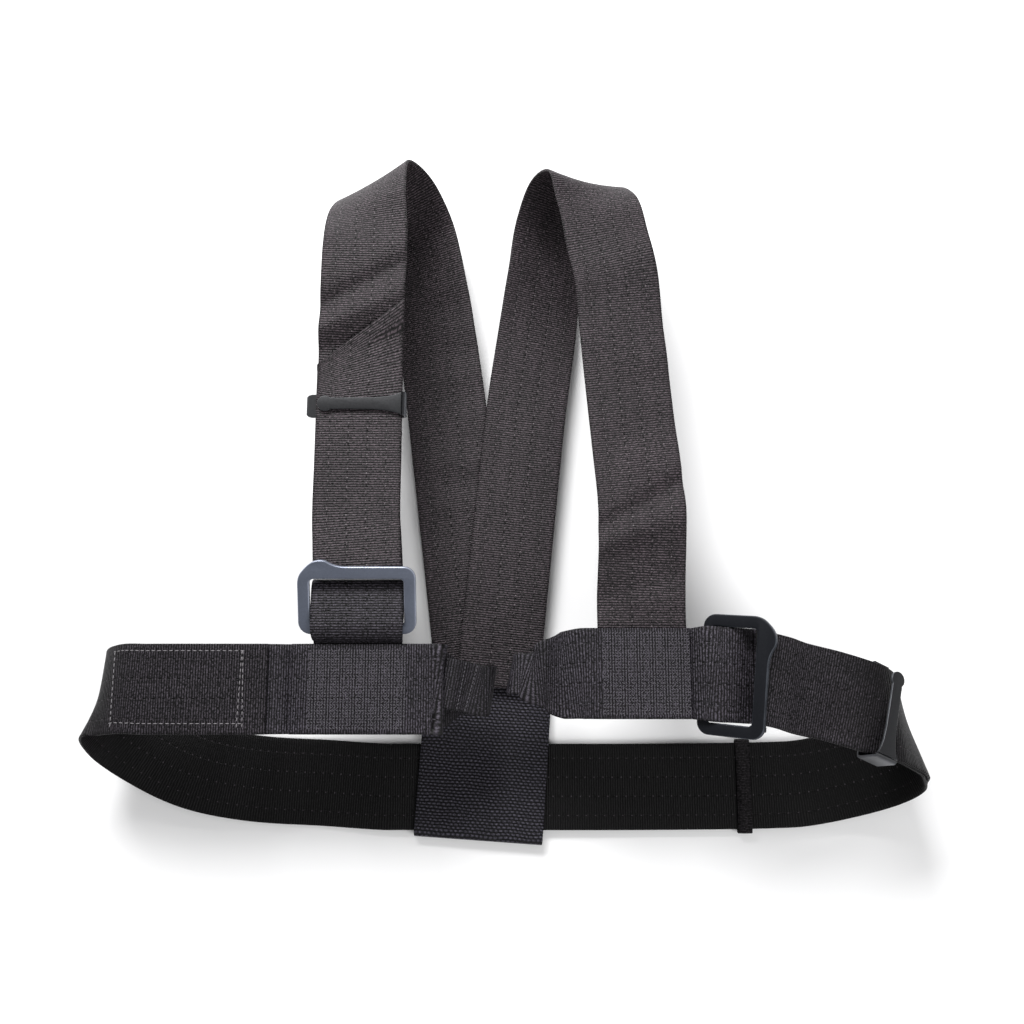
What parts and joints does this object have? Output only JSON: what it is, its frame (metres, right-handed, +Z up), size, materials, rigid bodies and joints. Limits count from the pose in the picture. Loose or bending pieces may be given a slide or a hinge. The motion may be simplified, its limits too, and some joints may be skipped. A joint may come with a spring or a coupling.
{
  "type": "chest harness",
  "caption": "Webbing chest harness laid flat on its back: belt, crossing shoulder straps, back patch, soft chest eyes, ring buckles with slide bars and strap keepers.",
  "frame": {"origin": "on the underside of the back patch, where it rests, at the middle of the belt's width", "axes": "+X along the belt (the longest way), +Y towards the shoulders, +Z up through the harness (the shortest way)"},
  "size_m": [0.4832, 0.4102, 0.0788],
  "materials": {
    "strap_webbing": "dark violet-brown ribbed polyester webbing with lengthwise binder threads",
    "belt_webbing": "near-black ribbed polyester webbing",
    "patch_webbing": "black coarse ribbed webbing",
    "thread": "bonded sewing thread, dark",
    "elastic": "black woven elastic",
    "anodised_frame": "satin blue-grey coated metal with bright worn edges",
    "steel_bar": "knurled dark plated steel bar",
    "keeper_strip": "satin gunmetal spring strip"
  },
  "bodies": {
    "webbing": {"left_shoulder_strap": "strap_webbing", "right_shoulder_strap": "strap_webbing", "belt_strap": "belt_webbing", "back_patch": "patch_webbing", "front_left_web": "belt_webbing", "front_right_web": "belt_webbing", "shoulder_buckle_loop": "belt_webbing", "left_box_stitch_upper": "thread", "left_box_stitch_lower": "thread", "left_join_stitch": "thread", "right_box_stitch_upper": "thread", "right_box_stitch_lower": "thread", "back_patch_stitch": "thread", "left_eye_tack": "thread", "right_eye_tack": "thread"},
    "shoulder_ring": {"shoulder_ring_buckle": "anodised_frame"},
    "shoulder_bar": {"shoulder_slide_bar": "steel_bar"},
    "belt_ring": {"belt_ring_buckle": "anodised_frame"},
    "belt_bar": {"belt_slide_bar": "steel_bar"},
    "shoulder_keeper": {"shoulder_keeper_plate": "keeper_strip"},
    "shoulder_keeper_spring": {"shoulder_keeper_arm": "keeper_strip"},
    "belt_keeper": {"belt_keeper_plate": "keeper_strip"},
    "belt_keeper_spring": {"belt_keeper_arm": "keeper_strip"},
    "elastic_band": {"elastic_keeper": "elastic"}
  },
  "joints": [
    {"name": "shoulder_ring_lift", "type": "hinge", "parent": "webbing", "child": "shoulder_ring", "pos_m": [-0.069, 0.09, 0.0529], "axis": [1, 0, 0], "range_deg": [0, 90]},
    {"name": "belt_ring_lift", "type": "hinge", "parent": "webbing", "child": "belt_ring", "pos_m": [0.1255, 0.0655, 0.0556], "axis": [-0.1045, -0.9945, 0], "range_deg": [0, 75]},
    {"name": "shoulder_bar_turn", "type": "hinge", "parent": "webbing", "child": "shoulder_bar", "pos_m": [-0.069, 0.12287, 0.0569], "axis": [1, 0, 0], "continuous": true},
    {"name": "belt_bar_turn", "type": "hinge", "parent": "webbing", "child": "belt_bar", "pos_m": [0.15605, 0.06229, 0.06798], "axis": [-0.1045, -0.9945, 0], "continuous": true},
    {"name": "shoulder_keeper_slide", "type": "slide", "parent": "webbing", "child": "shoulder_keeper", "axis": [0, 1, 0], "range_m": [-0.03, 0.01]},
    {"name": "shoulder_keeper_flex", "type": "hinge", "parent": "shoulder_keeper", "child": "shoulder_keeper_spring", "pos_m": [-0.0453, 0.22, 0.05885], "axis": [0, 1, 0], "range_deg": [0, 15], "stiffness_Nm_per_rad": 0.3},
    {"name": "belt_keeper_slide", "type": "slide", "parent": "webbing", "child": "belt_keeper", "axis": [-0.8586, 0.3629, 0.3621], "range_m": [-0.001, 0.001]},
    {"name": "belt_keeper_flex", "type": "hinge", "parent": "belt_keeper", "child": "belt_keeper_spring", "pos_m": [0.22076, 0.02028, 0.06385], "axis": [0.8586, -0.3629, -0.3621], "range_deg": [0, 15], "stiffness_Nm_per_rad": 0.3},
    {"name": "elastic_keeper_slide", "type": "slide", "parent": "webbing", "child": "elastic_band", "axis": [1, 0, 0], "range_m": [-0.1, 0.01]}
  ]
}
